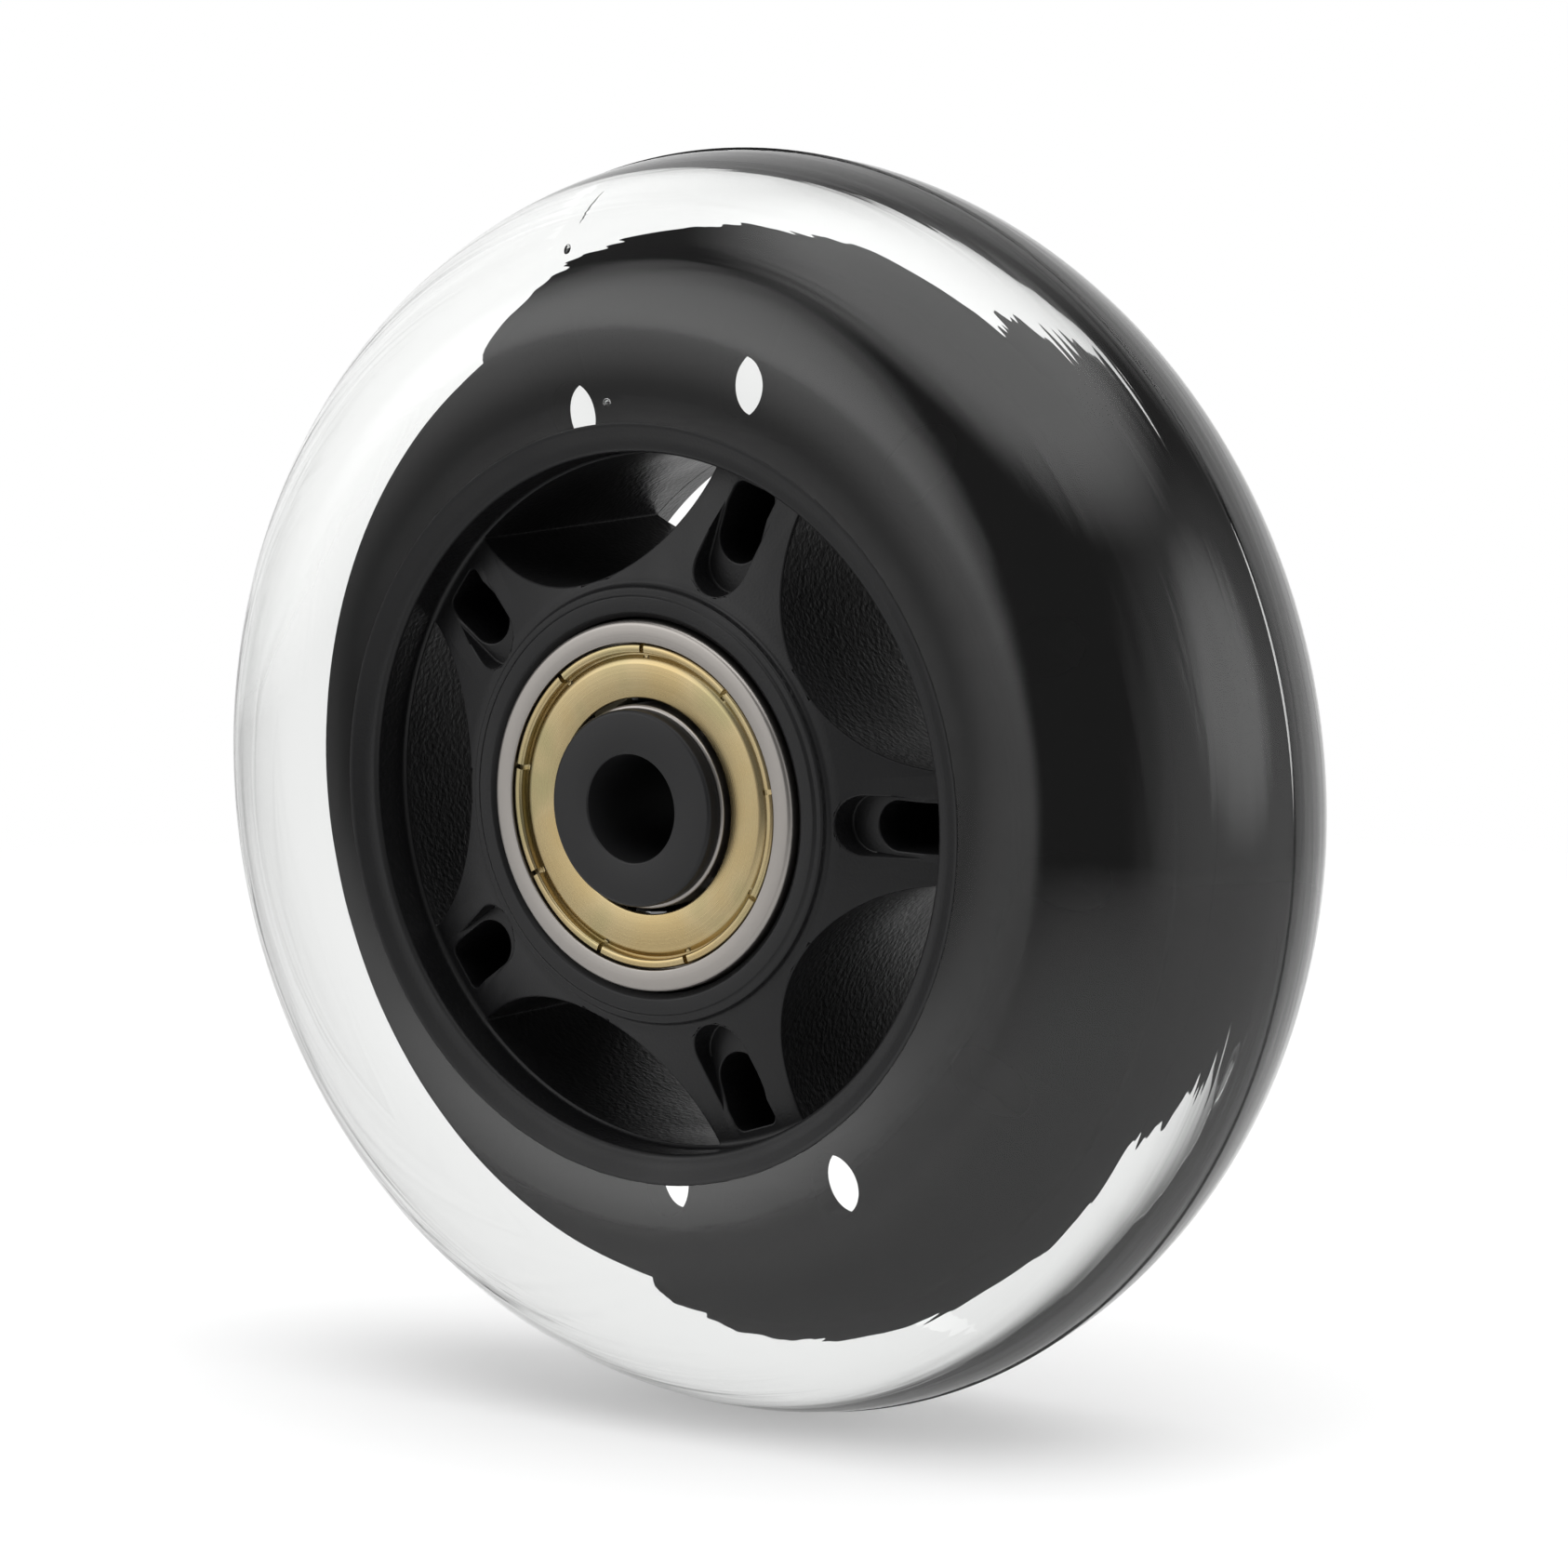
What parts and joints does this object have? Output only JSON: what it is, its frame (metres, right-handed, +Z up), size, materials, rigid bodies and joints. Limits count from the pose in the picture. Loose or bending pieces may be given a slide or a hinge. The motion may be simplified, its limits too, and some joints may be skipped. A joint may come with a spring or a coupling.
{
  "type": "chair caster wheel",
  "caption": "Inline-style office chair caster wheel: clear cast tyre on a black five-arm hub, shielded ball bearings and flanged bushings on a spacer sleeve.",
  "frame": {"origin": "the wheel's centre, on its spin axis and midway between its two faces", "axes": "+Y along the spin axis from the front face to the rear face, +Z up, +X to the right seen from the front"},
  "size_m": [0.076, 0.026, 0.076],
  "materials": {
    "clear_urethane": "clear cast polyurethane, gloss",
    "black_nylon": "injection moulded glass-filled nylon, fine spark-eroded texture",
    "bushing_nylon": "turned and moulded nylon, satin",
    "ring_steel": "ground bearing steel",
    "ball_steel": "polished bearing steel",
    "gold_plate": "pressed steel, yellow zinc chromate plated, gloss",
    "cage_nylon": "natural moulded nylon",
    "spacer_alloy": "turned aluminium tube"
  },
  "bodies": {
    "axle_set": {"front_bushing": "bushing_nylon", "rear_bushing": "bushing_nylon", "front_inner_ring": "ring_steel", "rear_inner_ring": "ring_steel", "spacer_sleeve": "spacer_alloy"},
    "wheel": {"tyre": "clear_urethane", "hub": "black_nylon", "front_outer_ring": "ring_steel", "rear_outer_ring": "ring_steel", "front_outer_shield": "gold_plate", "rear_outer_shield": "gold_plate", "front_inner_shield": "gold_plate", "rear_inner_shield": "gold_plate"},
    "front_cage": {"front_ball_cage": "cage_nylon"},
    "rear_cage": {"rear_ball_cage": "cage_nylon"},
    "front_ball_1": {"front_ball_1": "ball_steel"},
    "front_ball_2": {"front_ball_2": "ball_steel"},
    "front_ball_3": {"front_ball_3": "ball_steel"},
    "front_ball_4": {"front_ball_4": "ball_steel"},
    "front_ball_5": {"front_ball_5": "ball_steel"},
    "front_ball_6": {"front_ball_6": "ball_steel"},
    "front_ball_7": {"front_ball_7": "ball_steel"},
    "rear_ball_1": {"rear_ball_1": "ball_steel"},
    "rear_ball_2": {"rear_ball_2": "ball_steel"},
    "rear_ball_3": {"rear_ball_3": "ball_steel"},
    "rear_ball_4": {"rear_ball_4": "ball_steel"},
    "rear_ball_5": {"rear_ball_5": "ball_steel"},
    "rear_ball_6": {"rear_ball_6": "ball_steel"},
    "rear_ball_7": {"rear_ball_7": "ball_steel"}
  },
  "joints": [
    {"name": "wheel_spin", "type": "hinge", "parent": "axle_set", "child": "wheel", "pos_m": [0, 0, 0], "axis": [0, 1, 0], "continuous": true},
    {"name": "front_cage_spin", "type": "hinge", "parent": "axle_set", "child": "front_cage", "pos_m": [0, -0.0085, 0], "axis": [0, 1, 0], "continuous": true},
    {"name": "front_ball_1_roll", "type": "hinge", "parent": "front_cage", "child": "front_ball_1", "pos_m": [0.0075, -0.0085, 0], "axis": [0, 1, 0], "continuous": true},
    {"name": "front_ball_2_roll", "type": "hinge", "parent": "front_cage", "child": "front_ball_2", "pos_m": [0.00468, -0.0085, 0.00586], "axis": [0, 1, 0], "continuous": true},
    {"name": "front_ball_3_roll", "type": "hinge", "parent": "front_cage", "child": "front_ball_3", "pos_m": [-0.00167, -0.0085, 0.00731], "axis": [0, 1, 0], "continuous": true},
    {"name": "front_ball_4_roll", "type": "hinge", "parent": "front_cage", "child": "front_ball_4", "pos_m": [-0.00676, -0.0085, 0.00325], "axis": [0, 1, 0], "continuous": true},
    {"name": "front_ball_5_roll", "type": "hinge", "parent": "front_cage", "child": "front_ball_5", "pos_m": [-0.00676, -0.0085, -0.00325], "axis": [0, 1, 0], "continuous": true},
    {"name": "front_ball_6_roll", "type": "hinge", "parent": "front_cage", "child": "front_ball_6", "pos_m": [-0.00167, -0.0085, -0.00731], "axis": [0, 1, 0], "continuous": true},
    {"name": "front_ball_7_roll", "type": "hinge", "parent": "front_cage", "child": "front_ball_7", "pos_m": [0.00468, -0.0085, -0.00586], "axis": [0, 1, 0], "continuous": true},
    {"name": "rear_cage_spin", "type": "hinge", "parent": "axle_set", "child": "rear_cage", "pos_m": [0, 0.0085, 0], "axis": [0, 1, 0], "continuous": true},
    {"name": "rear_ball_1_roll", "type": "hinge", "parent": "rear_cage", "child": "rear_ball_1", "pos_m": [-0.0075, 0.0085, 0], "axis": [0, 1, 0], "continuous": true},
    {"name": "rear_ball_2_roll", "type": "hinge", "parent": "rear_cage", "child": "rear_ball_2", "pos_m": [-0.00468, 0.0085, 0.00586], "axis": [0, 1, 0], "continuous": true},
    {"name": "rear_ball_3_roll", "type": "hinge", "parent": "rear_cage", "child": "rear_ball_3", "pos_m": [0.00167, 0.0085, 0.00731], "axis": [0, 1, 0], "continuous": true},
    {"name": "rear_ball_4_roll", "type": "hinge", "parent": "rear_cage", "child": "rear_ball_4", "pos_m": [0.00676, 0.0085, 0.00325], "axis": [0, 1, 0], "continuous": true},
    {"name": "rear_ball_5_roll", "type": "hinge", "parent": "rear_cage", "child": "rear_ball_5", "pos_m": [0.00676, 0.0085, -0.00325], "axis": [0, 1, 0], "continuous": true},
    {"name": "rear_ball_6_roll", "type": "hinge", "parent": "rear_cage", "child": "rear_ball_6", "pos_m": [0.00167, 0.0085, -0.00731], "axis": [0, 1, 0], "continuous": true},
    {"name": "rear_ball_7_roll", "type": "hinge", "parent": "rear_cage", "child": "rear_ball_7", "pos_m": [-0.00468, 0.0085, -0.00586], "axis": [0, 1, 0], "continuous": true}
  ],
  "couplings": [
    {"joint": "front_cage_spin", "follows": "wheel_spin", "ratio": 0.6323},
    {"joint": "front_ball_1_roll", "follows": "wheel_spin", "ratio": 1.7573},
    {"joint": "front_ball_2_roll", "follows": "wheel_spin", "ratio": 1.7573},
    {"joint": "front_ball_3_roll", "follows": "wheel_spin", "ratio": 1.7573},
    {"joint": "front_ball_4_roll", "follows": "wheel_spin", "ratio": 1.7573},
    {"joint": "front_ball_5_roll", "follows": "wheel_spin", "ratio": 1.7573},
    {"joint": "front_ball_6_roll", "follows": "wheel_spin", "ratio": 1.7573},
    {"joint": "front_ball_7_roll", "follows": "wheel_spin", "ratio": 1.7573},
    {"joint": "rear_cage_spin", "follows": "wheel_spin", "ratio": 0.6323},
    {"joint": "rear_ball_1_roll", "follows": "wheel_spin", "ratio": 1.7573},
    {"joint": "rear_ball_2_roll", "follows": "wheel_spin", "ratio": 1.7573},
    {"joint": "rear_ball_3_roll", "follows": "wheel_spin", "ratio": 1.7573},
    {"joint": "rear_ball_4_roll", "follows": "wheel_spin", "ratio": 1.7573},
    {"joint": "rear_ball_5_roll", "follows": "wheel_spin", "ratio": 1.7573},
    {"joint": "rear_ball_6_roll", "follows": "wheel_spin", "ratio": 1.7573},
    {"joint": "rear_ball_7_roll", "follows": "wheel_spin", "ratio": 1.7573}
  ]
}
